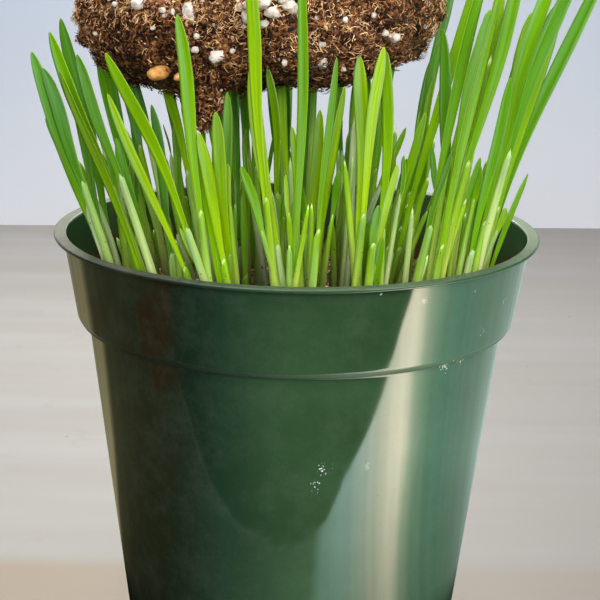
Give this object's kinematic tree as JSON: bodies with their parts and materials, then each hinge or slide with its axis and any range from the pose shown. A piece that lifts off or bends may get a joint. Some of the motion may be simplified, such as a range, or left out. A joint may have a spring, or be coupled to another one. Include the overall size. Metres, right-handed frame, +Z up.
{
  "type": "potted wheatgrass",
  "caption": "Round plastic nursery pot of growing wheatgrass, with the crumbly clump of potting mix that the shoots have lifted above the rim.",
  "frame": {"origin": "middle of the pot's flat underside", "axes": "+Z up, along the pot's axis; -Y towards the viewer of the picture, +X to the viewer's right"},
  "size_m": [0.171, 0.152, 0.2331],
  "materials": {
    "pot_plastic": "moulded, satin, lightly scuffed",
    "potting_mix": "loose damp coir and peat fibre",
    "shoot": "smooth living leaf, slightly waxy",
    "perlite": "rough white volcanic foam",
    "kernel": "dry, slightly glossy husk"
  },
  "bodies": {
    "root": {"pot": "pot_plastic", "soil": "potting_mix", "lifted_clump": "potting_mix", "shoots_01": "shoot", "shoots_02": "shoot", "shoots_03": "shoot", "shoots_04": "shoot", "shoots_05": "shoot", "shoots_06": "shoot", "shoots_07": "shoot", "shoots_08": "shoot", "shoots_09": "shoot", "shoots_10": "shoot", "shoots_11": "shoot", "shoots_12": "shoot", "shoots_13": "shoot", "shoots_14": "shoot", "shoots_15": "shoot", "shoots_16": "shoot", "shoots_17": "shoot", "shoots_18": "shoot", "shoots_19": "shoot", "shoots_20": "shoot", "shoots_21": "shoot", "shoots_22": "shoot", "shoots_23": "shoot", "shoots_24": "shoot", "shoots_25": "shoot", "shoots_26": "shoot", "shoots_27": "shoot", "shoots_28": "shoot", "shoots_29": "shoot", "shoots_30": "shoot", "shoots_31": "shoot", "shoots_32": "shoot", "shoots_33": "shoot", "shoots_34": "shoot", "shoots_35": "shoot", "shoots_36": "shoot", "shoots_37": "shoot", "perlite_1": "perlite", "perlite_2": "perlite", "perlite_3": "perlite", "perlite_4": "perlite", "perlite_5": "perlite", "perlite_6": "perlite", "perlite_7": "perlite", "perlite_8": "perlite", "kernel_1": "kernel", "kernel_2": "kernel"}
  },
  "joints": []
}
